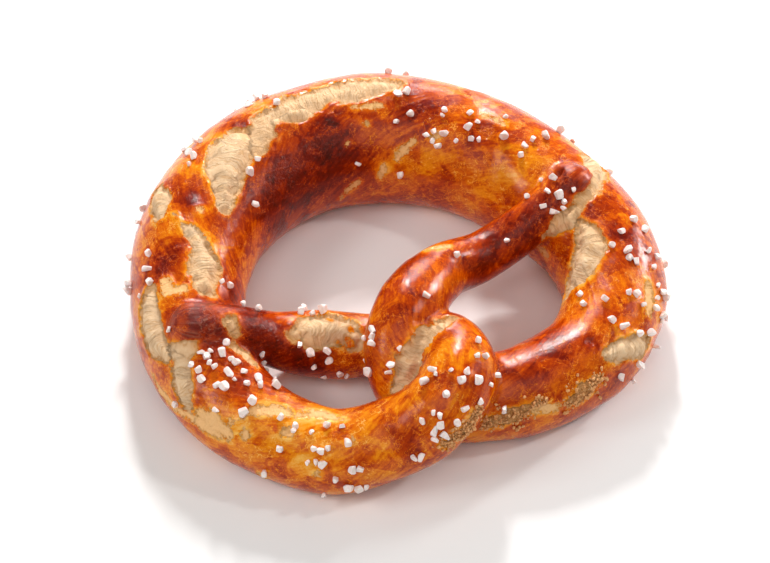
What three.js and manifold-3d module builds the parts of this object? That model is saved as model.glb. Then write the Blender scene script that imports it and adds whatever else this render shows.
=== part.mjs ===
// A soft pretzel of lye dough, lying flat: one rope, thick at the belly and thin at its two ends,
// bent into a ring, its arms twisted round each other once and laid back over the ring.
// Millimetres, +Z up. The belly is at +Y and the twist at -Y; the origin is the middle of the base.

import * as THREE from "three";
import { mergeVertices } from "three/addons/utils/BufferGeometryUtils.js";
import Module from "manifold-3d";

// ---- Driving dimensions --------------------------------------------------------------------

const RING_REACH = 60; // centre of the ring to the rope's centre line, at the belly
const BELLY_RADIUS = 21; // the rope's radius at the middle of the belly
const SEAT = 0.82; // height of the rope's centre line over the base, as a share of its radius
const LOBE_ANGLE = 118; // where each lobe reaches furthest, in degrees from the belly's middle
const LOBE_SPREAD = 30; // how far round the ring a lobe's bulge fades out, in degrees
const FOOT_ANGLE = 148; // where the ring starts to bend in towards the twist
const NECK_ANGLE = 165; // where the rope is at its thinnest, just before the twist
const RING_STEP = 20; // degrees between the ring's stations
const RING_END = 140; // the last of them

// The two sides of a rope rolled by hand differ a little. lobe is how far the lobe's bulge goes
// past RING_REACH, foot how much the ring draws in for each degree after FOOT_ANGLE, neck the
// rope's radius before the twist, and fullness how much of the belly's girth the side keeps.
const LEFT = { sign: -1, lobe: 4, foot: 0.19, neck: 11.6, fullness: 1 };
const RIGHT = { sign: 1, lobe: 9, foot: 0.4, neck: 13, fullness: 0.6 };

const station = (x, y, z, radius) => ({ centre: new THREE.Vector3(x, y, z), radius });

// The twist and the arms, from the ring's foot to the tip. The left rope goes over the right one,
// turns and passes under it; the right one does the reverse. Each tip lies on top of the ring.
const LEFT_TWIST = [
  station(-21, -55, 15.5, 11.6), // foot, rising
  station(-9.5, -55.5, 23, 11), // over the right rope
  station(-1.5, -50, 25.5, 11), // turning back
  station(2, -38, 22, 10.4), // diving
  station(-1.5, -26.5, 13.5, 9), // under the right rope
  station(-13, -17.5, 10, 9.2), // leaving the twist
  station(-26.5, -10.5, 10, 10.3), // the arm's swelling
  station(-40, -6, 14.5, 8.4), // rising to the ring
  station(-52, -3.5, 23, 7), // over the ring's shoulder
  station(-63, -1.5, 27.5, 6.6), // tip
];
const RIGHT_TWIST = [
  station(20, -53, 11, 13.4), // foot
  station(7, -50, 10.5, 12.8), // drawing in
  station(-5, -46, 10, 11), // under the left rope
  station(-12, -40, 15, 10), // climbing round the left rope
  station(-12, -31, 22.5, 9.6), // up beside it
  station(-3, -21.5, 26, 10), // over the left rope
  station(12.5, -10.5, 22, 8.7), // leaving the twist
  station(29, -6.5, 18.5, 8), // the arm's span
  station(46, -5, 23.5, 7.2), // over the ring's shoulder
  station(62.5, -1.5, 29.5, 6.8), // tip
];
const LEFT_ARM_STATIONS = 6; // of those above, the ones from under the right rope to the tip
const RIGHT_ARM_STATIONS = 8; // and from under the left rope to the tip

// ---- The rope's route ----------------------------------------------------------------------

function ringStation(side, degrees) {
  const bulge = side.lobe * Math.exp(-(((degrees - LOBE_ANGLE) / LOBE_SPREAD) ** 2));
  const drawn = side.foot * Math.max(0, degrees - FOOT_ANGLE);
  const reach = RING_REACH + bulge - drawn;
  const girth = (1 + Math.cos((Math.PI * degrees) / NECK_ANGLE)) / 2;
  const radius = side.neck + (BELLY_RADIUS - side.neck) * girth ** side.fullness;
  const angle = THREE.MathUtils.degToRad(degrees);
  return station(side.sign * reach * Math.sin(angle), reach * Math.cos(angle), SEAT * radius, radius);
}

// One side's stations, from the first one off the belly's middle to the tip.
function halfRope(side, twist) {
  const stations = [];
  for (let degrees = RING_STEP; degrees <= RING_END; degrees += RING_STEP) {
    stations.push(ringStation(side, degrees));
  }
  return stations.concat(twist);
}

const leftHalf = halfRope(LEFT, LEFT_TWIST);
const rightHalf = halfRope(RIGHT, RIGHT_TWIST);
const rope = [...leftHalf.toReversed(), ringStation(LEFT, 0), ...rightHalf];

// Its pieces as station numbers: each arm ends, and each half of the ring starts, where the other
// rope covers it, and the halves meet at the belly's middle.
const LAST = rope.length - 1;
const LEFT_CROSSING = LEFT_ARM_STATIONS - 1;
const BELLY = leftHalf.length;
const RIGHT_CROSSING = LAST - (RIGHT_ARM_STATIONS - 1);

// ---- Solids --------------------------------------------------------------------------------

const RING_SIDES = 24; // facets round the ring's halves
const ARM_SIDES = 18; // facets round an arm
const STEPS_PER_STATION = 4; // rings of facets from one station to the next
const END_STEPS = 5; // rings of facets on a rounded end
const UP = new THREE.Vector3(0, 0, 1);

const spline = (points) => new THREE.CatmullRomCurve3(points, false, "catmullrom", 0.5);
const centreLine = spline(rope.map((s) => s.centre));
const girthLine = spline(rope.map((s) => new THREE.Vector3(s.radius, 0, 0)));

// A closed stretch of the rope with rounded ends: an upright capsule whose straight part is laid
// along the centre line from one station to another, each of its rings scaled to the radius there.
function ropeGeometry(first, last, sides) {
  const steps = STEPS_PER_STATION * (last - first);
  const geometry = new THREE.CapsuleGeometry(1, 1, END_STEPS, sides, steps);
  const position = geometry.getAttribute("position");
  const point = new THREE.Vector3();
  for (let i = 0; i < position.count; i++) {
    point.fromBufferAttribute(position, i);
    const share = THREE.MathUtils.clamp(point.y + 0.5, 0, 1);
    const past = point.y + 0.5 - share; // how far out on a rounded end, in radii
    const along = (first + share * (last - first)) / LAST;
    const radius = girthLine.getPoint(along).x;
    const forward = centreLine.getTangent(along);
    const across = new THREE.Vector3().crossVectors(forward, UP).normalize();
    const above = new THREE.Vector3().crossVectors(across, forward);
    const laid = centreLine.getPoint(along);
    laid.addScaledVector(across, point.x * radius);
    laid.addScaledVector(above, point.z * radius);
    laid.addScaledVector(forward, past * radius);
    position.setXYZ(i, laid.x, laid.y, laid.z);
  }
  return geometry;
}

const wasm = await Module();
wasm.setup();

function solidFrom(geometry) {
  geometry.deleteAttribute("normal");
  geometry.deleteAttribute("uv");
  const merged = mergeVertices(geometry, 1e-3);
  const vertProperties = merged.getAttribute("position").array;
  const triVerts = new Uint32Array(merged.index.array);
  return new wasm.Manifold(new wasm.Mesh({ numProp: 3, vertProperties, triVerts }));
}

function geometryFrom(solid) {
  const mesh = solid.getMesh();
  const geometry = new THREE.BufferGeometry();
  geometry.setAttribute("position", new THREE.BufferAttribute(mesh.vertProperties, 3));
  geometry.setIndex(new THREE.BufferAttribute(mesh.triVerts, 1));
  return geometry;
}

// Everything under z = 0, where the dough lay flat on the baking tray.
function belowTheTray() {
  const size = 4 * RING_REACH;
  return solidFrom(new THREE.BoxGeometry(size, size, size).translate(0, 0, -size / 2));
}

function pretzelGeometry() {
  const pieces = [
    ropeGeometry(0, LEFT_CROSSING, ARM_SIDES),
    ropeGeometry(LEFT_CROSSING, BELLY, RING_SIDES),
    ropeGeometry(BELLY, RIGHT_CROSSING, RING_SIDES),
    ropeGeometry(RIGHT_CROSSING, LAST, ARM_SIDES),
  ];
  const dough = pieces.map(solidFrom).reduce((joined, piece) => joined.add(piece));
  const geometry = geometryFrom(dough.subtract(belowTheTray()));
  geometry.computeBoundingBox();
  const middle = geometry.boundingBox.getCenter(new THREE.Vector3());
  geometry.translate(-middle.x, -middle.y, 0);
  geometry.computeVertexNormals();
  return geometry;
}

const CRUST = new THREE.MeshStandardMaterial({ color: 0xa8561a, roughness: 0.35, metalness: 0 });

const pretzel = new THREE.Mesh(pretzelGeometry(), CRUST);
pretzel.name = "pretzel";

const group = new THREE.Group();
group.add(pretzel);

export default group;
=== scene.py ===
"""A soft pretzel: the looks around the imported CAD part.

The dough is rebuilt from the same rope as the CAD part, as a fine skin that swells, splits and
scars. Coarse salt is sprinkled on it, and loose crumbs lie on its rough bands near the base.
Lengths are in millimetres until a mesh is made.
"""

import math
from itertools import product

import bpy
import numpy as np
import openvdb
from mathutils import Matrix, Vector


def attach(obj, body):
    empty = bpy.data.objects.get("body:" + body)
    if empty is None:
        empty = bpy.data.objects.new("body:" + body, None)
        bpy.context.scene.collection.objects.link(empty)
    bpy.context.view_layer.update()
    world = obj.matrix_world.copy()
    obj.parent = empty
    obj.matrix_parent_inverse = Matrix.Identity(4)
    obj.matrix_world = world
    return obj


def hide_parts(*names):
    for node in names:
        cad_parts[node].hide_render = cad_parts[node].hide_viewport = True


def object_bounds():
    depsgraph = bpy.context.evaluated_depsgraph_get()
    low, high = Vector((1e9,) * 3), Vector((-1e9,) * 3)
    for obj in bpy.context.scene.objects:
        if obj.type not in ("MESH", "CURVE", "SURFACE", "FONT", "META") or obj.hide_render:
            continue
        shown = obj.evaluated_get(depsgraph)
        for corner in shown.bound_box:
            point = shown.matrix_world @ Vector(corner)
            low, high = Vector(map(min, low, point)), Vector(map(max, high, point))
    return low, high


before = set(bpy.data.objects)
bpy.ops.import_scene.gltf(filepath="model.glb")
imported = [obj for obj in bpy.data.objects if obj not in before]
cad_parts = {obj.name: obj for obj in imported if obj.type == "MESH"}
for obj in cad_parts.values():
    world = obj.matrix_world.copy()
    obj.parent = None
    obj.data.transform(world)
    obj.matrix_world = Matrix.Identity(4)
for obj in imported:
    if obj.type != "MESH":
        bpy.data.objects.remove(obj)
CAD_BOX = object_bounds()

MM = 0.001  # metres in a millimetre

# ---- The rope ------------------------------------------------------------------------------
# Its stations are those of the CAD part: x, y, z and radius, from the left tip, number 0, over the
# middle of the belly, number 17, to the right tip, number 34.

RING_REACH = 60  # centre of the ring to the rope's centre line, at the belly
BELLY_RADIUS = 21  # the rope's radius at the middle of the belly
SEAT = 0.82  # height of the rope's centre line over the base, as a share of its radius
LOBE_ANGLE = 118  # where each lobe reaches furthest, in degrees from the belly's middle
LOBE_SPREAD = 30  # how far round the ring a lobe's bulge fades out, in degrees
FOOT_ANGLE = 148  # where the ring starts to bend in towards the twist
NECK_ANGLE = 165  # where the rope is at its thinnest, just before the twist
RING_STEP = 20  # degrees between the ring's stations
RING_END = 140  # the last of them

# The two sides differ a little. lobe is how far the lobe's bulge goes past RING_REACH, foot how
# much the ring draws in for each degree after FOOT_ANGLE, neck the rope's radius before the twist,
# and fullness how much of the belly's girth the side keeps.
LEFT = {"sign": -1, "lobe": 4, "foot": 0.19, "neck": 11.6, "fullness": 1}
RIGHT = {"sign": 1, "lobe": 9, "foot": 0.4, "neck": 13, "fullness": 0.6}

# The twist and the arms, from the ring's foot to the tip
LEFT_TWIST = [
    (-21, -55, 15.5, 11.6),
    (-9.5, -55.5, 23, 11),
    (-1.5, -50, 25.5, 11),
    (2, -38, 22, 10.4),
    (-1.5, -26.5, 13.5, 9),
    (-13, -17.5, 10, 9.2),
    (-26.5, -10.5, 10, 10.3),
    (-40, -6, 14.5, 8.4),
    (-52, -3.5, 23, 7),
    (-63, -1.5, 27.5, 6.6),
]
RIGHT_TWIST = [
    (20, -53, 11, 13.4),
    (7, -50, 10.5, 12.8),
    (-5, -46, 10, 11),
    (-12, -40, 15, 10),
    (-12, -31, 22.5, 9.6),
    (-3, -21.5, 26, 10),
    (12.5, -10.5, 22, 8.7),
    (29, -6.5, 18.5, 8),
    (46, -5, 23.5, 7.2),
    (62.5, -1.5, 29.5, 6.8),
]
CROSSINGS = (5, 17, 27)  # stations where one stretch of the rope ends and the next starts
SAMPLE_STEP = 0.05  # stations between two samples of the rope
BATCH = 8000  # points looked up at a time, to save memory


def ring_station(side, degrees):
    bulge = side["lobe"] * math.exp(-(((degrees - LOBE_ANGLE) / LOBE_SPREAD) ** 2))
    drawn = side["foot"] * max(0, degrees - FOOT_ANGLE)
    reach = RING_REACH + bulge - drawn
    girth = (1 + math.cos(math.pi * degrees / NECK_ANGLE)) / 2
    radius = side["neck"] + (BELLY_RADIUS - side["neck"]) * girth ** side["fullness"]
    angle = math.radians(degrees)
    return (side["sign"] * reach * math.sin(angle), reach * math.cos(angle), SEAT * radius, radius)


def half_rope(side, twist):
    angles = range(RING_STEP, RING_END + 1, RING_STEP)
    return [ring_station(side, degrees) for degrees in angles] + twist


def catmull_rom(points, at):
    """The smooth curve through the points, at these station numbers."""
    first = 2 * points[0] - points[1]
    last = 2 * points[-1] - points[-2]
    padded = np.vstack([first, points, last])
    low = np.clip(np.floor(at).astype(int), 0, len(points) - 2)
    t = (at - low)[:, None]
    p0, p1, p2, p3 = (padded[low + k] for k in range(4))
    bend = 2 * p0 - 5 * p1 + 4 * p2 - p3
    twist = 3 * p1 - p0 - 3 * p2 + p3
    return p1 + 0.5 * ((p2 - p0) * t + bend * t**2 + twist * t**3)


def unit(vectors):
    return vectors / np.linalg.norm(vectors, axis=-1, keepdims=True)


class Rope:
    """Samples along the rope, each with its centre, radius and three directions."""

    def __init__(self):
        left = half_rope(LEFT, LEFT_TWIST)
        right = half_rope(RIGHT, RIGHT_TWIST)
        stations = np.array(left[::-1] + [ring_station(LEFT, 0)] + right, float)
        self.at = np.arange(0, len(stations) - 1 + SAMPLE_STEP / 2, SAMPLE_STEP)
        samples = catmull_rom(stations, np.minimum(self.at, len(stations) - 1 - 1e-6))
        self.centre = samples[:, :3]
        self.radius = samples[:, 3]
        self.centre -= self._middle()
        forward = unit(np.gradient(self.centre, axis=0))
        self.across = unit(np.cross(forward, [0, 0, 1]))
        self.above = np.cross(self.across, forward)
        steps = np.linalg.norm(np.diff(self.centre, axis=0), axis=1)
        self.along = np.concatenate([[0], np.cumsum(steps)])

    def _middle(self):
        """How far the route's own box lies from the CAD part's, which is centred."""
        low = (self.centre - self.radius[:, None]).min(0)
        high = (self.centre + self.radius[:, None]).max(0)
        wanted = (np.array(CAD_BOX[0]) + np.array(CAD_BOX[1])) / 2 / MM
        middle = (low + high) / 2 - wanted
        middle[2] = 0
        return middle

    def index(self, at):
        return np.clip(np.round(np.asarray(at) / SAMPLE_STEP).astype(int), 0, len(self.at) - 1)

    def outward(self, at, around):
        """The direction out of the rope: around is in degrees from straight up, and positive is
        towards the inside of the ring."""
        k = self.index(at)
        angle = np.radians(around)[..., None]
        return np.cos(angle) * self.above[k] + np.sin(angle) * self.across[k]

    def surface(self, at, around):
        k = self.index(at)
        return self.centre[k] + self.radius[k][..., None] * self.outward(at, around)

    def nearest(self, points):
        """For each point, the number of the sample whose skin is nearest."""
        found = np.empty(len(points), int)
        for start in range(0, len(points), BATCH):
            part = points[start:start + BATCH]
            gaps = np.linalg.norm(part[:, None] - self.centre, axis=2) - self.radius
            found[start:start + BATCH] = gaps.argmin(1)
        return found


rope = Rope()

# ---- The dough as a distance field ---------------------------------------------------------

VOXEL = 0.85  # side of a grid cell, and so of a face of the skin
REACH = 3.5  # how far out of the dough the field is worked out
CREASE = 2.2  # how softly two stretches of rope that press together meet
BASE_EDGE = 1.6  # how softly the sides meet the flat base
SETTLING_ROUNDS = 2  # how often the skin's points are moved onto the surface
FAR = 50.0  # a distance past any that matters


def grid_axes():
    low = (rope.centre - rope.radius[:, None]).min(0) - REACH
    high = (rope.centre + rope.radius[:, None]).max(0) + REACH
    low[2] = -REACH
    return [np.arange(a, b, VOXEL) for a, b in zip(low, high)]


def strand_field(axes, first, last):
    """Distance to a stretch of the rope, and the station nearest, at each cell of the grid."""
    shape = [len(axis) for axis in axes]
    distance = np.full(shape, FAR, np.float32)
    place = np.zeros(shape, np.float32)
    for k in range(rope.index(first), rope.index(last) + 1):
        reach = rope.radius[k] + REACH
        spans = [np.searchsorted(axis, (c - reach, c + reach)) for axis, c in zip(axes, rope.centre[k])]
        cut = tuple(slice(*span) for span in spans)
        x, y, z = (axis[part] - c for axis, part, c in zip(axes, cut, rope.centre[k]))
        squares = x[:, None, None] ** 2 + y[None, :, None] ** 2 + z[None, None, :] ** 2
        gap = np.sqrt(squares).astype(np.float32) - np.float32(rope.radius[k])
        nearer = gap < distance[cut]
        distance[cut][nearer] = gap[nearer]
        place[cut][nearer] = rope.at[k]
    return distance, place


def pressed(first, second):
    """Two stretches of rope as one, with a soft crease where they aren't neighbours."""
    (gap_a, place_a), (gap_b, place_b) = first, second
    apart = np.clip(np.abs(place_a - place_b) / 2 - 1, 0, 1)  # from 2 stations apart to 4
    soft = np.maximum(CREASE * apart, 1e-3)
    share = np.clip(0.5 + 0.5 * (gap_b - gap_a) / soft, 0, 1)
    gap = gap_b + (gap_a - gap_b) * share - soft * share * (1 - share)
    return gap, np.where(gap_a < gap_b, place_a, place_b)


def dough_field(axes):
    ends = (0, *CROSSINGS, rope.at[-1])
    whole = strand_field(axes, ends[0], ends[1])
    for first, last in zip(ends[1:], ends[2:]):
        whole = pressed(whole, strand_field(axes, first, last))
    gap = whole[0]
    below = -axes[2].astype(np.float32)[None, None, :]
    share = np.clip(0.5 + 0.5 * (gap - below) / BASE_EDGE, 0, 1)
    return below + (gap - below) * share + BASE_EDGE * share * (1 - share)


def read_field(field, axes, points):
    """The field between its cells, at these points."""
    cell = (points - [axis[0] for axis in axes]) / VOXEL
    cell = np.clip(cell, 0, np.array(field.shape) - 1.001)
    low = np.floor(cell).astype(int)
    part = cell - low
    total = 0
    for corner in product((0, 1), repeat=3):
        weight = np.prod(np.where(corner, part, 1 - part), axis=1)
        total = total + weight * field[tuple((low + corner).T)]
    return total


def field_normals(field, axes, points):
    slopes = []
    for step in np.eye(3) * VOXEL:
        ahead = read_field(field, axes, points + step)
        slopes.append(ahead - read_field(field, axes, points - step))
    return unit(np.stack(slopes, 1) + 1e-9)


def skin_of_dough():
    """The dough's smooth skin: its points, their outward directions and its four-sided faces."""
    axes = grid_axes()
    field = dough_field(axes)
    grid = openvdb.FloatGrid(FAR)
    grid.copyFromArray(field)
    points, quads = grid.convertToQuads()
    points = points * VOXEL + [axis[0] for axis in axes]
    for _ in range(SETTLING_ROUNDS):
        normals = field_normals(field, axes, points)
        points -= read_field(field, axes, points)[:, None] * normals
    quads = quads.astype(int)
    corners = points[quads]
    facing = np.cross(corners[:, 2] - corners[:, 0], corners[:, 3] - corners[:, 1])
    if (facing * normals[quads[:, 0]]).sum() < 0:
        quads = quads[:, ::-1]
    return points, normals, quads


# ---- Noise ---------------------------------------------------------------------------------

TABLE = 48  # side of the table of random values, after which the noise repeats
TABLE_START = 100  # the cell that the noise starts from


def lumps(points, size, seed):
    """Smooth random values from -1 to 1, with lumps of about this size."""
    table = np.random.default_rng(seed).uniform(-1, 1, (TABLE,) * 3)
    cell = points / size + TABLE_START
    low = np.floor(cell).astype(int)
    part = cell - low
    part = part * part * (3 - 2 * part)
    total = 0
    for corner in product((0, 1), repeat=3):
        weight = np.prod(np.where(corner, part, 1 - part), axis=1)
        total = total + weight * table[tuple(((low + corner) % TABLE).T)]
    return total


def rumple(points, size, seed, octaves=3):
    """Lumps with half as large lumps on them, and so on."""
    return sum(lumps(points, size / 2**k, seed + k) / 2**k for k in range(octaves))


def smooth(value, low=0.0, high=1.0):
    part = np.clip((value - low) / (high - low), 0, 1)
    return part * part * (3 - 2 * part)


# ---- Where the crust has split -------------------------------------------------------------
# Each path is a list of (station, degrees round the rope, half width). The degrees are counted from
# straight up, and positive ones are towards the inside of the ring.

SPLITS = [
    # the belly's wide split, and the far end of its branch along the top
    [(14.6, 29, 2.0), (14.75, 26, 3.1), (15, 21, 4.6), (15.25, 14, 6.6), (15.55, 6, 7.6), (15.8, 2, 5.5)],
    [(16.45, 6, 2.6), (16.75, 8, 3.4), (17, 9, 2.8)],
    # down the left side of the ring
    [(14.75, -43, 3), (14.55, -36, 4.6), (14.3, -29, 3)],
    [(14.3, -14, 0.7), (14.05, 2, 1.2), (13.85, 15, 3.2), (13.5, 21, 4.7), (13.15, 22, 4.4),
     (12.95, 26, 2.2)],
    # round the left tip
    [(13.2, -36, 2.6), (13, -43, 3.9), (12.75, -47, 4.2), (12.45, -48, 4.4), (12.25, -42, 3.2)],
    [(12.3, -38, 2.6), (12.2, -20, 2.8)],
    [(12.25, -35, 2.6), (12, -42, 3.2), (11.8, -53, 3.4), (11.7, -62, 2.8), (11.6, -70, 1.2)],
    [(0.75, 33, 1.9), (0.9, 58, 2.0)],
    [(11.95, 29, 1.8), (11.8, 38, 2.1), (11.5, 39, 0.9)],
    # the left arm
    [(2.25, 28, 3.0), (2.6, 18, 5.6), (3, 14, 6.2), (3.35, 18, 5.4), (3.6, 28, 3.6)],
    # round the right tip
    [(21.3, -34, 2.8), (21.45, -32, 4.6), (21.6, -20, 4.0), (21.8, -3, 2.5), (21.9, 16, 1.9),
     (22.05, 36, 3.1), (21.95, 52, 2.4), (33, 91, 1.3)],
    # the right side of the ring
    [(22.2, 28, 2.2), (22.4, 27, 4.0), (22.65, 32, 5.3), (22.9, 40, 5.7), (23.15, 52, 4.3), (23.4, 60, 2.2)],
    [(24.15, -40, 1.6), (24, -47, 3.1), (23.85, -58, 3.6), (23.7, -66, 2.6)],
]
ROUGH_SPLITS = [
    # the belly's split where it turns, and its branch along the top, both torn open in shreds
    [(15.9, 20, 3.2), (16.1, 12, 4.2), (16.35, -1, 4.0), (16.6, 0, 4.6), (16.9, -1, 5.2), (17.25, 1, 6.0),
     (17.55, -1, 5.3), (17.85, -1, 5.2), (18.15, -5, 4.0), (18.35, -10, 2.6), (18.5, -13, 1.2)],
    # between the two ropes of the twist
    [(6.15, 0, 2.4), (6.15, 25, 4.0), (28.95, 47, 4.8), (28.6, 6, 4.2), (28.35, -25, 3.4), (28.2, -47, 1.5)],
]
SCARS = [  # shallow tears that baked nearly as long as the crust
    [(11.5, -58, 1.5), (11.35, -55, 3.2), (11.15, -57, 2.2)],
    [(17.75, 17, 0.8), (18.2, 16, 0.9)],
    [(14.4, 9, 1.2)],
    [(13.25, -20, 1.5), (13.05, -17, 1.8), (13.05, -3, 1.2)],
    [(12.3, -80, 0.9), (12.15, -85, 1.2), (11.9, -83, 1.2), (11.55, -71, 1.5)],
    [(11.55, -71, 1.5), (11.35, -68, 2.4), (11.2, -67, 1.5)],
    [(11.15, -43, 1.2)],
    [(10.95, -46, 1.4)],
    [(10.55, -25, 1.4)],
    [(11.05, -31, 0.9)],
    [(10.1, -73, 0.9)],
    [(9.65, -25, 1.2)],
    [(10.7, -105, 1.2)],
    [(11, -18, 1.2), (10.85, -5, 1.8), (10.65, 1, 1.2)],
    [(10.5, 2, 0.9), (10.2, 21, 1.5), (9.75, 9, 0.6)],
    [(23.15, -38, 1.5), (23.3, -45, 1.8), (23.45, -49, 1.2)],
    [(18.55, 63, 1.2), (18.65, 55, 1.5), (18.8, 47, 1.2)],
    [(18.15, 81, 0.9), (18.25, 73, 1.1)],
    [(17.2, 103, 0.3), (17.4, 92, 0.9), (17.65, 85, 0.5)],
    [(17.5, 48, 0.8)],
    [(17.9, 33, 0.8)],
    [(19.15, 40, 0.9), (19.25, 37, 0.9)],
    [(19.8, 1, 0.6), (20, 1, 0.7), (20.15, 2, 0.6)],
    [(21.9, 85, 0.9), (22.1, 82, 0.9)],
    [(30.9, -30, 0.8), (31.15, -5, 0.8)],
    [(25.25, -61, 1.2), (24.9, -69, 1.2)],
    # the outer side of the belly, which baked against nothing and split near the tray
    [(16.1, -72, 0.8), (16.7, -78, 1.7), (17.4, -80, 2.1), (18.1, -76, 1.6), (18.6, -70, 0.7)],
    [(20.6, -70, 0.7), (21.1, -76, 1.5), (21.6, -74, 0.8)],
]
CRUMBLES = [  # crumbly bands where the dough rubbed and tore near the base
    [(26.15, -74, 1.2), (25.75, -70, 2.0), (25.35, -62, 1.9), (25.1, -57, 0.9)],
    [(24.7, -69, 1.8), (24.5, -62, 2.5), (24.35, -58, 1.2)],
    [(8.4, -80, 1.4), (8.2, -82, 1.5), (8, -84, 1.3), (7.75, -75, 0.9)],
    [(14.9, -96, 1.2), (15.2, -98, 1.6)],
]
ISLANDS = [  # crust left whole inside a split
    [(17.1, 21, 1.5), (17.35, 13, 2.2), (17.5, 9, 1.2)],
    [(16.75, 22, 1.4)],
    [(16.3, -14, 1.4), (16.5, -13, 1.6)],
    [(16.95, -19, 1.5), (17.2, -21, 1.3)],
    [(3.3, 38, 0.8)],
    [(3.45, 46, 0.9)],
    [(3.5, 30, 0.8)],
    [(3.58, 14, 1.0)],
    [(3.62, 38, 1.0)],
    [(3.1, -4, 1.1)],
    [(3.35, 52, 0.7)],
    [(12.7, 26, 1.0)],
    [(12.15, -44, 1.1)],
]

# The kinds of tear. sink is how far the crumb lies under the crust, and pillow how far it swells
# back in the middle of a wide tear. lip is how far the crust stands up along the edge, and rag how
# unevenly that edge runs. pores is how rough the crumb is. shreds is how far it has gone to crumbs,
# and toast how far it has browned, both from 0 to 1.
KINDS = [
    {
        "paths": SPLITS,
        "sink": 1.6,
        "pillow": 3.0,
        "lip": 0.45,
        "rag": 1.3,
        "pores": 0.14,
        "shreds": 0,
        "toast": 0,
    },
    {
        "paths": ROUGH_SPLITS,
        "sink": 1.3,
        "pillow": 1.5,
        "lip": 0.5,
        "rag": 1.9,
        "pores": 0.5,
        "shreds": 0.15,
        "toast": 0,
    },
    {
        "paths": SCARS,
        "sink": 0.3,
        "pillow": 0.25,
        "lip": 0.2,
        "rag": 0.9,
        "pores": 0.14,
        "shreds": 0,
        "toast": 1,
    },
    {
        "paths": CRUMBLES,
        "sink": -0.3,
        "pillow": 0.3,
        "lip": 0.0,
        "rag": 1.4,
        "pores": 0.7,
        "shreds": 1,
        "toast": 0,
    },
]

# ---- Where it is dented, dry or dark -------------------------------------------------------

# Soft grooves and pits that leave the crust whole: a path as above, and its depth
DENTS = [
    ([(19.5, -20, 3), (19.8, 10, 4), (20.3, 40, 4.5), (20.8, 68, 4)], 1.0),
    ([(33.9, -30, 1.5)], 2.2),
    ([(24.2, -16, 1.3)], 0.9),
    ([(13.75, -20, 2), (13.2, -8, 2.5)], 0.7),
    ([(9.2, -30, 2), (8.8, -62, 3)], 0.7),
    ([(31, 40, 2), (31.6, 75, 3)], 0.6),
]

# Where the thin ends have gone dry and wrinkled, and where a painted sheen lies on those wrinkles: station,
# degrees round, reach, strength
WRINKLES_AND_SHEEN = [
    (0, 24, 7, 1.1),
    (34, 10, 5, 0.4),
]

# Where the crust is darker (+) or more golden (-): station, degrees round, reach, tone
TONES = [
    # the left arm
    (0, 30, 9, 0.24),
    (1.5, 60, 10, 0.42),
    (2.6, 75, 8, 0.3),
    # the left rope at the twist, and the ring's foot on the left
    (6.9, 25, 6, -0.2),
    (7.3, -24, 6, 0.16),
    (8.1, 10, 7, -0.14),
    (8.8, -41, 6, 0.16),
    (9.2, -60, 9, -0.1),
    (9.3, 5, 8, -0.1),
    # the left side of the ring
    (10.2, -20, 9, -0.1),
    (10.4, -50, 9, -0.1),
    (11, -51, 11, -0.16),
    (11.4, 5, 6, 0.18),
    (11.9, -52, 7, -0.16),
    (12.4, 60, 8, 0.15),
    (12.9, -60, 8, -0.16),
    (13.2, 58, 8, 0.2),
    (13.4, -30, 5, 0.15),
    (13.6, -12, 7, 0.28),
    (14.5, 0, 4, 0.3),
    # the belly
    (15, -8, 8, -0.14),
    (15.1, 47, 7, 0.15),
    (15.1, -43, 8, -0.16),
    (15.6, 62, 14, 0.24),
    (15.6, -38, 9, -0.16),
    (16, -8, 3, 0.35),
    (16.6, -32, 8, -0.14),
    (16.7, 62, 17, 0.27),
    (17.3, 22, 3, 0.25),
    (17.4, 43, 9, 0.2),
    (18.7, 31, 9, 0.24),
    (18.9, 5, 9, 0.2),
    (19.2, 60, 6, -0.1),
    (19.8, 12, 7, 0.16),
    # the right side of the ring
    (20.4, 75, 9, -0.1),
    (20.9, 40, 8, -0.14),
    (22.5, 0, 7, 0.26),
    (22.7, -20, 7, 0.22),
    (23.4, 5, 7, 0.12),
    (23.6, -34, 6, 0.1),
    (24.1, -74, 5, 0.25),
    # darker on the pit dented in at this place
    (24.2, -16, 3, 0.35),
    # the ring's foot on the right
    (24.6, 10, 10, 0.18),
    (25.3, -20, 12, 0.2),
    # the right rope at the twist, and the right arm
    (29.4, -30, 8, -0.12),
    (29.4, 5, 9, 0.16),
    (30, 23, 10, 0.2),
    (31.4, 50, 10, 0.2),
    (32.7, 58, 13, 0.26),
    (34, 32, 8, 0.22),
    # darker on the pit dented in near the right tip
    (34, -29, 2.5, 0.4),
]
BASE_BAKE = 0.455  # how dark the crust is elsewhere, from 0, pale gold, to 1, nearly black


def spots(start, rows):
    """Soft spots on the skin, added up: station, degrees round, reach, strength."""
    total = np.zeros(len(start))
    for at, around, reach, strength in rows:
        gap = np.linalg.norm(start - rope.surface(at, around), axis=1)
        total += strength * np.exp(-((gap / reach) ** 2))
    return total


# ---- The skin ------------------------------------------------------------------------------

UNTORN = 12.0  # distance to a tear that skin far from all of them is given
FACING = 0.2  # cosine to a path's outward direction under which skin counts as turned away from it
TURNED_AWAY = 12  # distance added, at most, to skin that is
FIBRE_STEP = 2.1  # from one fibre of torn crumb to the next
LIP_WIDTH = 0.9  # reach of the crust's raised lip along a tear


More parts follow.
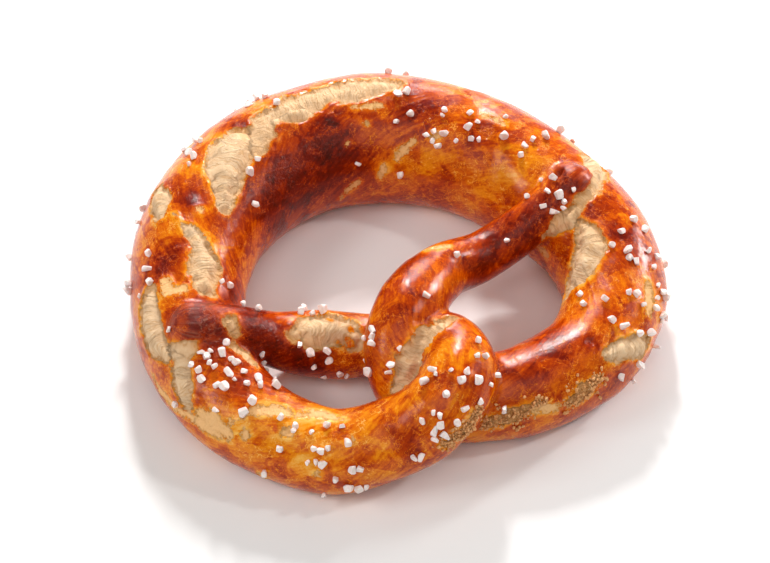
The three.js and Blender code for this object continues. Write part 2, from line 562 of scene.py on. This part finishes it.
def path_distance(points, normals, path):
    """Distance to the edge of a path, negative inside, and how far along the path each point is."""
    at, around, half_width = np.array(path, float).T
    knots = rope.surface(at, around)
    outward = rope.outward(at, around)
    edge = np.full(len(points), FAR)
    along = np.zeros(len(points))
    gone = 0.0
    for k in range(max(1, len(path) - 1)):
        end = min(k + 1, len(path) - 1)
        run = knots[end] - knots[k]
        length = np.linalg.norm(run)
        share = np.clip((points - knots[k]) @ run / max(length**2, 1e-6), 0, 1)
        gap = np.linalg.norm(points - knots[k] - share[:, None] * run, axis=1)
        gap -= half_width[k] + (half_width[end] - half_width[k]) * share
        gap += TURNED_AWAY * np.clip(FACING - normals @ unit(outward[k] + outward[end]), 0, 1)
        nearer = gap < edge
        edge[nearer] = gap[nearer]
        along[nearer] = (gone + share * length)[nearer]
        gone += length
    return edge, along


def rolled_out(points):
    """The skin laid flat: how far along the rope each point is, and how far round it."""
    k = rope.nearest(points)
    out = points - rope.centre[k]
    turn = np.arctan2((out * rope.across[k]).sum(1), (out * rope.above[k]).sum(1))
    return np.stack([rope.along[k], turn * rope.radius[k], np.zeros(len(k))], 1)


class Skin:
    """The dough's skin, with what each point of it needs to know for its shape and its colour."""

    def __init__(self):
        start, self.normals, self.quads = skin_of_dough()
        count = len(start)
        self.strokes = rolled_out(start)
        self.torn = np.full(count, UNTORN)  # distance to the nearest tear's edge, negative inside
        self.grain = np.zeros(count)  # how far along that tear
        self.crumbly = np.zeros(count)
        self.toasted = np.zeros(count)
        self.wrinkled_and_sheen = np.clip(spots(start, WRINKLES_AND_SHEEN), 0, 1)
        self.height = np.zeros(count)  # how far the crust stands out
        self.open = np.zeros(count)  # and what a tear adds to that
        self._swell(start)
        self._tear(start)
        self._dent(start)
        loose = smooth(start[:, 2], 0.3, 3.0)  # 0 where the dough is held flat by the tray
        self.points = start + self.normals * ((self.height + self.open) * loose)[:, None]
        self.bake = BASE_BAKE + 0.1 * rumple(start, 16, seed=101) + spots(start, TONES)

    def _swell(self, start):
        """A rope rolled by hand is never even."""
        self.height += 0.5 * rumple(start, 24, seed=11, octaves=2)
        self.height += 0.16 * rumple(start, 7, seed=21, octaves=2)
        self.height += 0.05 * lumps(start, 2.2, seed=31)
        self.height += 0.22 * self.wrinkled_and_sheen * lumps(start, 1.8, seed=33)

    def _tear(self, start):
        wobble = rumple(start, 5.5, seed=41)
        nibble = lumps(start, 1.7, seed=51)
        fibre_shift = 1.4 * rumple(start, 4, seed=61, octaves=2)
        for kind in KINDS:
            for path in kind["paths"]:
                edge, along = path_distance(start, self.normals, path)
                widest = max(row[2] for row in path)
                edge += kind["rag"] * min(1, widest / 2.5) * (0.9 * wobble + 0.5 * nibble)
                self._open(kind, edge, along + fibre_shift, widest, start)

        for path in ISLANDS:
            edge, _ = path_distance(start, self.normals, path)
            edge += 0.5 * wobble + 0.4 * nibble
            self.torn = np.maximum(self.torn, -edge)
            self.open += (0.2 - self.open) * smooth(-edge, -0.3, 0.6)

    def _open(self, kind, edge, along, widest, start):
        """Tears the skin inside this edge, unless it lies deeper in another tear."""
        inside = np.clip(-edge, 0, None)
        cut = smooth(inside, 0, 0.7)
        full = np.sin(np.clip(inside / max(widest, 1), 0, 1) * math.pi / 2)
        swelling = kind["pillow"] * min(1, widest / 4) * full
        fibres = 0.1 * np.sin(along * 2 * math.pi / FIBRE_STEP) * cut * min(1, widest / 3)
        pores = kind["pores"] * rumple(start, 3.2, seed=71) * cut
        lip = kind["lip"] * np.exp(-((edge / LIP_WIDTH) ** 2)) * (edge > 0)
        lip *= 1 + lumps(start, 2.5, seed=81)
        change = swelling - kind["sink"] * cut + fibres + pores + lip
        nearer = edge < self.torn
        blend = smooth(self.torn - edge, -0.6, 0.6)
        self.open += (change - self.open) * blend
        self.crumbly += (kind["shreds"] - self.crumbly) * blend
        self.toasted += (kind["toast"] - self.toasted) * blend
        self.torn = np.where(nearer, edge, self.torn)
        self.grain = np.where(nearer, along, self.grain)

    def _dent(self, start):
        for path, depth in DENTS:
            edge, _ = path_distance(start, self.normals, path)
            widest = max(row[2] for row in path)
            self.height -= depth * smooth(-edge / widest, -0.8, 0.9)


# ---- Materials -----------------------------------------------------------------------------


def colour(red, green, blue):
    """A colour given as it looks on a screen, from 0 to 255, as the shader wants it."""
    shares = [value / 255 for value in (red, green, blue)]
    linear = [s / 12.92 if s <= 0.04045 else ((s + 0.055) / 1.055) ** 2.4 for s in shares]
    return (*linear, 1)


class Shader:
    """Short ways to add nodes to a material. Every input takes a value or another node's output."""

    def __init__(self, name):
        self.material = bpy.data.materials.new(name)
        self.material.use_nodes = True
        self.tree = self.material.node_tree
        self.tree.nodes.clear()

    def node(self, kind, inputs, output=0, **settings):
        made = self.tree.nodes.new(kind)
        for name, value in settings.items():
            setattr(made, name, value)
        for key, value in inputs.items():
            if isinstance(value, bpy.types.NodeSocket):
                self.tree.links.new(value, made.inputs[key])
            else:
                made.inputs[key].default_value = value
        return made.outputs[output]

    def maths(self, operation, first, second=0.0):
        return self.node("ShaderNodeMath", {0: first, 1: second}, operation=operation)

    def add(self, *terms):
        total = terms[0]
        for term in terms[1:]:
            total = self.maths("ADD", total, term)
        return total

    def times(self, first, second):
        return self.maths("MULTIPLY", first, second)

    def swing(self, value, amount):
        """How far a noise is from its middle, times an amount."""
        return self.times(self.add(value, -0.5), amount)

    def attribute(self, name, output="Fac"):
        return self.node("ShaderNodeAttribute", {}, output, attribute_name=name)

    def scaled(self, vector, scale):
        return self.node("ShaderNodeVectorMath", {0: vector, 1: scale}, operation="MULTIPLY")

    def millimetres(self):
        """The place on the piece."""
        return self.scaled(self.node("ShaderNodeTexCoord", {}, "Object"), (1 / MM,) * 3)

    def bent(self, vector, scale, reach):
        """The vector pushed about by a noise, so that a pattern laid on it wanders."""
        inputs = {"Vector": vector, "Scale": scale, "Detail": 4.0}
        drift = self.node("ShaderNodeTexNoise", inputs, "Color")
        pushed = self.scaled(drift, (reach,) * 3)
        return self.node("ShaderNodeVectorMath", {0: pushed, 1: vector}, operation="ADD")

    def noise(self, vector, scale, detail=3.0, roughness=0.55, distortion=0.0):
        inputs = {"Vector": vector, "Scale": scale, "Detail": detail}
        inputs.update({"Roughness": roughness, "Distortion": distortion})
        return self.node("ShaderNodeTexNoise", inputs)

    def cracks(self, vector, scale, width):
        """1 along the borders of irregular cells, and 0 inside them."""
        inputs = {"Vector": vector, "Scale": scale}
        border = self.node("ShaderNodeTexVoronoi", inputs, feature="DISTANCE_TO_EDGE")
        return self.step(border, 0.0, width, 1.0, 0.0)

    def vein(self, vector, scale, width):
        """1 along fine wandering lines, where a noise crosses its middle, and 0 elsewhere."""
        middle = self.maths("ABSOLUTE", self.add(self.noise(vector, scale, 3.0, 0.5, 0.8), -0.5))
        return self.step(middle, 0.0, width, 1.0, 0.0)

    def step(self, value, low, high, start=0.0, end=1.0):
        """From start to end as the value goes from low to high."""
        inputs = {"Value": value, "From Min": low, "From Max": high, "To Min": start, "To Max": end}
        return self.node("ShaderNodeMapRange", inputs, interpolation_type="SMOOTHSTEP")

    def mix(self, share, first, second):
        return self.node("ShaderNodeMix", {0: share, 6: first, 7: second}, 2, data_type="RGBA")

    def mix_value(self, share, first, second):
        return self.node("ShaderNodeMix", {0: share, 2: first, 3: second}, 0, data_type="FLOAT")

    def ramp(self, value, stops):
        made = self.tree.nodes.new("ShaderNodeValToRGB")
        for _ in stops[2:]:
            made.color_ramp.elements.new(0.5)
        for element, (place, shade) in zip(made.color_ramp.elements, stops):
            element.position = place
            element.color = shade
        self.tree.links.new(value, made.inputs[0])
        return made.outputs[0]

    def finish(self, height, **inputs):
        """The surface itself, with a relief whose height is in millimetres."""
        bump = self.node("ShaderNodeBump", {"Strength": 1.0, "Distance": MM, "Height": height})
        named = {name.replace("_", " "): value for name, value in inputs.items()}
        surface = self.node("ShaderNodeBsdfPrincipled", {**named, "Normal": bump})
        end = self.tree.nodes.new("ShaderNodeOutputMaterial")
        self.tree.links.new(surface, end.inputs["Surface"])
        return self.material


# Each ramp's stops, as (place, colour)
CRUST_TONES = [
    (0.0, colour(248, 190, 92)),
    (0.2, colour(236, 142, 14)),
    (0.4, colour(207, 89, 1)),
    (0.56, colour(169, 52, 0)),
    (0.76, colour(118, 21, 0)),
    (1.0, colour(68, 11, 0)),
]
# from dark, where painted shade falls by a tear's edge and in its creases, to the palest crumb
CRUMB_TONES = [
    (0.0, colour(186, 116, 60)),
    (0.35, colour(211, 157, 100)),
    (0.7, colour(227, 184, 137)),
    (1.0, colour(241, 209, 169)),
]
CRUMBLY_TONES = [
    (0.3, colour(170, 100, 46)),
    (0.5, colour(212, 150, 88)),
    (0.7, colour(242, 198, 146)),
]
UNDERSIDE_TONES = [
    (0.3, colour(120, 62, 24)),
    (0.5, colour(158, 92, 40)),
    (0.7, colour(190, 128, 66)),
]
SALT_TONES = [
    (0.3, colour(236, 214, 206)),
    (0.55, colour(247, 234, 228)),
    (0.75, colour(250, 243, 240)),
]
LOOSE_CRUMB_TONES = [
    (0.3, colour(186, 112, 52)),
    (0.5, colour(218, 156, 94)),
    (0.7, colour(236, 190, 136)),
]
FLOOR_TONES = [
    (0.3, colour(244, 243, 241)),
    (0.7, colour(248, 247, 246)),
]
# a painted whitish sheen on the crests of the wrinkled ends
PAINTED_TIP_SHEEN = colour(196, 128, 98)
TEAR_RIM = colour(228, 150, 60)
BROWNED_CRUMB = colour(228, 158, 76)
TOASTED_CRUMB = colour(250, 188, 114)
# painted shade in the pits of the crumb
PAINTED_PIT_SHADE = colour(190, 118, 58)
MATT = 0.65  # roughness of the crumb and of the underside
CRUST_IOR = 1.34
CRUST_SHEEN = (1, 0.9, 0.8, 1)  # tint of the crust's reflections


class DoughShader(Shader):
    """The dough's material: its crust, its torn crumb and its dry underside."""

    def __init__(self):
        super().__init__("baked_dough")
        self.place = self.millimetres()
        self.strokes = self.attribute("strokes", "Vector")
        self.torn = self.attribute("torn")
        self.bake = self.attribute("bake")
        self.crumbly = self.attribute("crumbly")
        self.toasted = self.attribute("toasted")
        self.wrinkled_and_sheen = self.attribute("wrinkled_and_sheen")
        self.near_tear = self.step(self.torn, 0.0, 2.2, 1.0, 0.0)
        self.charred = self.step(self.bake, 0.62, 0.95)
        self._add_crust_patterns()
        self._add_crumb_patterns()
        height = self.node("ShaderNodeSeparateXYZ", {0: self.place}, "Z")
        self.under = self.step(self.add(height, self.swing(self.mottle, 0.6)), 0.25, 0.9, 1.0, 0.0)

    def _add_crust_patterns(self):
        self.mottle = self.noise(self.place, 0.16, 3)
        self.patchy = self.noise(self.place, 0.42, 4, 0.6, 0.5)
        self.fleck = self.noise(self.place, 1.0, 4, 0.7)
        turned = {"Vector": self.strokes, "Angle": 0.55}
        self.slant = self.node("ShaderNodeVectorRotate", turned, rotation_type="Z_AXIS")
        self.streak = self.noise(self.scaled(self.slant, (0.12, 0.95, 1)), 1.0, 4, 0.6, 0.4)
        self.wrinkles = self.noise(self.scaled(self.strokes, (0.9, 1.1, 1)), 0.9, 4, 0.6, 1.2)
        self.cracked = self._crust_cracks()

    def _crust_cracks(self):
        """1 along the crust's fine golden cracks: a wide web, and shorter lines between."""
        web = self.cracks(self.bent(self.place, 0.4, 9), 0.26, 0.045)
        web = self.times(web, self.step(self.mottle, 0.42, 0.56))
        lines = self.vein(self.scaled(self.slant, (0.35, 1, 1)), 0.8, 0.07)
        lines = self.times(lines, self.step(self.patchy, 0.5, 0.66))
        return self.maths("MAXIMUM", web, self.times(lines, 0.45))

    def _add_crumb_patterns(self):
        """Where the crumb shows, by a frayed edge, and its fibres, which run across the tear."""
        fine_fray = self.swing(self.noise(self.place, 1.2, 5, 0.7), 2.3)
        frayed = self.add(fine_fray, self.swing(self.patchy, 1.6))
        self.ragged = self.add(self.torn, self.times(frayed, self.add(1, self.toasted)))
        self.shown = self.step(self.ragged, -0.1, 0.1, 1.0, 0.0)
        grain = self.times(self.attribute("grain"), 1.5)
        fibre_place = self.node("ShaderNodeCombineXYZ", {0: grain, 1: self.times(self.torn, 0.16)})
        self.fibre = self.noise(fibre_place, 1.0, 4, 0.6, 0.3)
        self.pores = self.noise(self.place, 1.5, 3, 0.6)
        untoasted = self.add(1, self.times(self.toasted, -1))
        # creases across the crumb: sunk in the relief, and darker in the colour as painted shade
        self.wrinkle = self.times(self.vein(fibre_place, 0.55, 0.05), untoasted)
        # pits in the crumbly bands: sunk in the relief, and darker in the colour as painted shade
        pits = self.step(self.noise(self.place, 0.6, 3, 0.55), 0.56, 0.7)
        self.pits = self.times(pits, self.step(self.crumbly, 0.1, 0.4))

    def darkness(self):
        """How dark the crust is: in plates, patches, flecks and streaks, and paler by a tear."""
        plates = self.step(self.noise(self.place, 0.13, 4, 0.6, 0.8), 0.44, 0.58)
        return self.add(
            self.bake,
            self.swing(self.mottle, 0.4),
            self.swing(self.patchy, 0.24),
            self.swing(self.fleck, 0.36),
            self.swing(self.streak, 0.5),
            self.swing(plates, 0.18),
            self.times(self.near_tear, -0.2),
        )

    def crust(self):
        crust = self.ramp(self.add(self.darkness(), self.times(self.cracked, -0.28)), CRUST_TONES)
        # painted sheen: the crests of the wrinkles on the thin ends are lightened to a whitish pink-brown
        sheen_ridges = self.step(self.wrinkles, 0.48, 0.66, 0.0, 0.4)
        crust = self.mix(self.times(self.wrinkled_and_sheen, sheen_ridges), crust, PAINTED_TIP_SHEEN)
        from_edge = self.maths("ABSOLUTE", self.add(self.ragged, -0.12))
        rim = self.step(from_edge, 0.0, 0.35, 1.0, 0.0)
        return self.mix(self.times(rim, 0.6), crust, TEAR_RIM)

    def crumb(self):
        """The crumb in a tear: darker by its edge, a painted shade where it sinks under the crust's lip;
        paler on its fibres, partly their own colour and partly a painted highlight; darker in its creases, a
        painted shade; and browned where the crust is.
        """
        pale_and_painted_light = self.add(
            0.07,
            # painted shade by the edge, where the crumb sinks under the crust's lip
            self.times(self.step(self.ragged, 0.0, -1.3), 0.4),
            # paler on the raised fibres: partly their own colour, partly a painted highlight
            self.times(self.fibre, 0.5),
            self.times(self.pores, 0.3),
            # darker in the creases: painted shade
            self.times(self.wrinkle, -0.22),
        )
        loose = self.ramp(self.noise(self.place, 1.2, 3, 0.7), CRUMBLY_TONES)
        crumb = self.mix(self.crumbly, self.ramp(pale_and_painted_light, CRUMB_TONES), loose)
        browned = self.step(self.bake, 0.4, 0.8)
        crumb = self.mix(self.times(browned, 0.42), crumb, BROWNED_CRUMB)
        crumb = self.mix(self.times(self.toasted, 0.7), crumb, TOASTED_CRUMB)
        # the pits darkened: painted shade
        return self.mix(self.times(self.pits, 0.35), crumb, PAINTED_PIT_SHADE)

    def underside(self):
        """Dry and matt, where it lay on the tray."""
        cloud = self.add(self.times(self.mottle, 0.6), self.times(self.fleck, 0.4))
        return self.ramp(cloud, UNDERSIDE_TONES)

    def roughness(self):
        gloss = self.add(
            self.step(self.fleck, 0.3, 0.75, 0.09, 0.23),
            self.times(self.near_tear, 0.08),
            self.times(self.charred, 0.03),
        )
        return self.mix_value(self.maths("MAXIMUM", self.shown, self.under), gloss, MATT)

    def relief(self):
        crust = self.add(
            self.times(self.noise(self.place, 0.9, 4, 0.65), 0.07),
            self.times(self.noise(self.place, 2.6, 3, 0.6), 0.028),
            self.times(self.streak, 0.1),
            self.times(self.cracked, -0.03),
            self.times(self.times(self.wrinkles, self.wrinkled_and_sheen), 0.5),
            self.times(self.times(self.noise(self.place, 1.1, 3, 0.6), self.charred), 0.35),
        )
        crumb = self.add(
            self.times(self.fibre, 0.45),
            self.times(self.pores, self.add(0.3, self.times(self.crumbly, 0.9))),
            self.times(self.wrinkle, -0.14),
            self.times(self.pits, -0.4),
        )
        edge = self.step(self.ragged, -0.25, 0.2, 0.0, 0.3)
        return self.add(self.mix_value(self.shown, crust, crumb), edge)


def baked_dough():
    s = DoughShader()
    base = s.mix(s.shown, s.crust(), s.crumb())
    base = s.mix(s.under, base, s.underside())
    return s.finish(s.relief(), Base_Color=base, Roughness=s.roughness(), IOR=CRUST_IOR,
                    Specular_Tint=CRUST_SHEEN)


def coarse_salt():
    s = Shader("coarse_salt")
    place = s.millimetres()
    cloud = s.noise(place, 0.9, 3)
    relief = s.times(s.noise(place, 2.2, 3, 0.6), 0.16)
    roughness = s.step(cloud, 0.3, 0.7, 0.3, 0.5)
    return s.finish(relief, Base_Color=s.ramp(cloud, SALT_TONES), Roughness=roughness, IOR=1.54,
                    Subsurface_Weight=0.35, Subsurface_Radius=(0.9, 0.6, 0.5),
                    Subsurface_Scale=0.8 * MM)


def loose_crumb():
    s = Shader("loose_crumb")
    grainy = s.noise(s.millimetres(), 1.4, 3, 0.7)
    base = s.ramp(grainy, LOOSE_CRUMB_TONES)
    return s.finish(s.times(grainy, 0.3), Base_Color=base, Roughness=0.85)


def pale_floor():
    s = Shader("pale_floor")
    place = s.node("ShaderNodeTexCoord", {}, "Object")
    cloud = s.noise(place, 9, 3)
    base = s.ramp(cloud, FLOOR_TONES)
    return s.finish(s.times(cloud, 0.02), Base_Color=base, Roughness=0.7)


# ---- Pieces --------------------------------------------------------------------------------


def mesh_object(name, points, faces, material, smooth_shaded=True):
    mesh = bpy.data.meshes.new(name)
    mesh.from_pydata((np.asarray(points) * MM).tolist(), [], np.asarray(faces).tolist())
    mesh.materials.append(material)
    mesh.polygons.foreach_set("use_smooth", [smooth_shaded] * len(mesh.polygons))
    mesh.update()
    made = bpy.data.objects.new(name, mesh)
    bpy.context.collection.objects.link(made)
    return made


def add_attribute(made, name, values):
    kind, field = ("FLOAT", "value") if values.ndim == 1 else ("FLOAT_VECTOR", "vector")
    layer = made.data.attributes.new(name, kind, "POINT")
    layer.data.foreach_set(field, values.astype(np.float32).ravel())


def make_dough(skin):
    dough = mesh_object("baked_pretzel", skin.points, skin.quads, baked_dough())
    for name in ("torn", "grain", "bake", "crumbly", "toasted", "wrinkled_and_sheen", "strokes"):
        add_attribute(dough, name, getattr(skin, name))
    return dough


# Drifts of salt: station, degrees round, reach, grains counted
DRIFTS = [
    (1, 10, 8, 6),
    (2.6, -27, 3, 3),
    (3.1, 85, 5, 6),
    (7.3, -19, 5, 9),
    (8.1, -32, 6, 10),
    (9, -78, 3, 2),
    (9.7, -70, 5, 6),
    (10.4, -40, 8, 11),
    (11.4, -5, 8, 12),
    (12, -12, 6, 10),
    (13.4, -35, 4, 3),
    (13.6, -78, 2, 2),
    (15.1, 44, 1, 1),
    (15.4, -32, 7, 6),
    (16.6, -32, 6, 3),
    (17.7, 66, 1, 1),
    (18.4, 11, 5, 3),
    (18.6, 76, 1, 1),
    (19.3, 25, 5, 7),
    (19.9, 8, 5, 4),
    (20.6, 2, 6, 4),
    (22.7, -21, 7, 9),
    (23.3, -70, 5, 6),
    (23.6, -38, 6, 8),
    (23.6, 26, 2, 2),
    (24, -80, 4, 2),
    (25.7, -47, 1, 1),
    (28.8, -40, 5, 7),
    (30, 35, 1, 1),
    (31.1, 21, 1, 1),
    (32.4, 38, 1, 1),
    (33.6, 20, 4, 8),
    # the outer side of the belly and of the right lobe
    (16.6, -84, 8, 6),
    (18.8, -86, 8, 6),
    (20.8, -72, 8, 6),
    (14.4, -80, 6, 4),
]
GRAIN_SIZES = (0.75, 1.4)  # half the width of a grain of salt
GRAIN_SUNK = 0.35  # share of a grain's half width that is baked into the crust
CHIP_SIZES = (0.22, 0.6)  # half the width of a loose crumb
CHIP_SUNK = 0.15  # share of a crumb's half width that is stuck in the dough
CHIPS = 22  # how many crumbs each point of a crumbly band's path counts as
SALT_SHAPES = 14  # different grains of salt
CHIP_SHAPES = 8  # different crumbs
EXTRA_CUTS = 4  # flat sides of a grain or a crumb, past its first six
DENSITY = 1.25  # grains or crumbs sprinkled for each one counted
SCATTER = 0.85  # how wide a drift is sprinkled, as a share of its reach
TRIES = 40  # times a grain is aimed before it is given up
LOWEST = 3  # height over the tray under which no grain lies
OUT_OF_USE = 30  # distance added to skin that a grain may not lie on


def chunk(rng, rounds):
    """An irregular block: a ball with six flat sides, nearly square to each other, and a few more."""
    bpy.ops.mesh.primitive_ico_sphere_add(subdivisions=rounds, radius=1)
    ball = bpy.context.object
    points = np.array([v.co for v in ball.data.vertices])
    faces = np.array([p.vertices for p in ball.data.polygons])
    bpy.data.objects.remove(ball)
    square = [side + rng.normal(size=3) * 0.3 for side in (*np.eye(3), *-np.eye(3))]
    for side in unit(np.vstack([square, rng.normal(size=(EXTRA_CUTS, 3))])):
        over = points @ side - rng.uniform(0.45, 0.9)
        points -= np.clip(over, 0, None)[:, None] * side
    return points * rng.uniform(0.9, 1.45, 3), faces


def any_turn(rng):
    """A random rotation."""
    first = unit(rng.normal(size=3))
    second = unit(np.cross(first, rng.normal(size=3)))
    return np.stack([first, second, np.cross(first, second)])


def strewn(skin, usable, drifts, sizes, rng, gap_share):
    """Seats for small things on the usable skin: places, outward directions, sizes, none too close."""
    seats = []
    for at, around, reach, count in drifts:
        middle = rope.surface(at, around)
        outward = rope.outward(at, around)
        for _ in range(round(DENSITY * count)):
            for _ in range(TRIES):
                size = rng.uniform(*sizes)
                aimed = middle + rng.normal(size=3) * SCATTER * reach
                gaps = np.linalg.norm(skin.points - aimed, axis=1)
                gaps += OUT_OF_USE * ((skin.normals @ outward < 0.1) | ~usable)
                k = gaps.argmin()
                place = skin.points[k]
                clear = all(np.linalg.norm(place - p) > gap_share * (size + s) for p, _, s in seats)
                if clear and place[2] > size + LOWEST:
                    seats.append((place, skin.normals[k], size))
                    break
    return seats


def make_salt(skin):
    rng = np.random.default_rng(7)
    shapes = [chunk(rng, rounds=3) for _ in range(SALT_SHAPES)]
    seats = strewn(skin, skin.torn > 0.3, DRIFTS, GRAIN_SIZES, rng, gap_share=0.8)
    return join_chunks("salt", shapes, seats, rng, coarse_salt(), GRAIN_SUNK)


def make_crumbs(skin):
    rng = np.random.default_rng(8)
    shapes = [chunk(rng, rounds=2) for _ in range(CHIP_SHAPES)]
    drifts = [(row[0], row[1], 1.1 * row[2], CHIPS) for path in CRUMBLES for row in path]
    seats = strewn(skin, skin.crumbly > 0.2, drifts, CHIP_SIZES, rng, gap_share=0.6)
    return join_chunks("crumbs", shapes, seats, rng, loose_crumb(), CHIP_SUNK)


def join_chunks(name, shapes, seats, rng, material, sunk):
    """One mesh of a chunk in each seat, turned at random."""
    points, faces, count = [], [], 0
    for place, outward, size in seats:
        shape, sides = shapes[rng.integers(len(shapes))]
        turned = shape @ any_turn(rng)
        low = (turned @ outward).min()
        points.append(place + size * (turned - (low + sunk) * outward))
        faces.append(sides + count)
        count += len(shape)
    return mesh_object(name, np.vstack(points), np.vstack(faces), material, smooth_shaded=False)


skin = Skin()
dough = make_dough(skin)
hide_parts("pretzel")
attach(dough, "root")

salt = make_salt(skin)
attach(salt, "root")

crumbs = make_crumbs(skin)
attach(crumbs, "root")

# ---- Floor, lights and camera --------------------------------------------------------------

AIM = Vector((-3.3, -7.2, 15)) * MM  # what the camera and the lights point at
CAMERA_DISTANCE = 0.551  # in metres, as are the lights' distances and sizes
CAMERA_AZIMUTH = -26
CAMERA_ELEVATION = 48
LENS = 85
SENSOR_WIDTH = 36
FLOOR_HALF = 3000
SKY_COLOUR = (1, 0.98, 0.96, 1)
SKY_STRENGTH = 0.24


def direction(azimuth, elevation):
    """Towards the camera or a light: azimuth 0 is in front, at -Y, and it grows towards +X."""
    turn, rise = math.radians(azimuth), math.radians(elevation)
    return Vector((math.sin(turn) * math.cos(rise), -math.cos(turn) * math.cos(rise), math.sin(rise)))


def aim(thing, place, target):
    thing.location = place
    thing.rotation_euler = (target - place).to_track_quat("-Z", "Y").to_euler()


def make_floor():
    corners = [(FLOOR_HALF * x, FLOOR_HALF * y, 0) for x, y in ((-1, -1), (1, -1), (1, 1), (-1, 1))]
    mesh_object("floor", corners, [(0, 1, 2, 3)], pale_floor())


def make_light(name, azimuth, elevation, distance, size, power):
    light = bpy.data.lights.new(name, "AREA")
    light.shape = "RECTANGLE"
    light.size, light.size_y = size
    light.energy = power
    made = bpy.data.objects.new(name, light)
    bpy.context.collection.objects.link(made)
    aim(made, AIM + distance * direction(azimuth, elevation), AIM)


def make_camera():
    lens = bpy.data.cameras.new("camera")
    lens.lens = LENS
    lens.sensor_width = SENSOR_WIDTH
    made = bpy.data.objects.new("camera", lens)
    bpy.context.collection.objects.link(made)
    aim(made, AIM + CAMERA_DISTANCE * direction(CAMERA_AZIMUTH, CAMERA_ELEVATION), AIM)
    bpy.context.scene.camera = made


def make_world():
    world = bpy.data.worlds.new("studio")
    world.use_nodes = True
    sky = world.node_tree.nodes["Background"]
    sky.inputs["Color"].default_value = SKY_COLOUR
    sky.inputs["Strength"].default_value = SKY_STRENGTH
    bpy.context.scene.world = world


make_floor()
make_light("key", azimuth=157, elevation=38, distance=0.9, size=(0.09, 0.14), power=7.1)
make_light("sheen", azimuth=150, elevation=19, distance=0.9, size=(0.36, 0.09), power=2.2)
make_light("right", azimuth=97, elevation=18, distance=0.9, size=(0.06, 0.12), power=3.7)
make_light("window", azimuth=65, elevation=42, distance=0.9, size=(0.06, 0.08), power=1.4)
make_light("left", azimuth=-98, elevation=40, distance=0.9, size=(0.3, 0.3), power=2.3)
make_light("fill", azimuth=-25, elevation=58, distance=1.0, size=(0.8, 0.8), power=2.7)
make_camera()
make_world()
bpy.context.scene.view_settings.view_transform = "Standard"
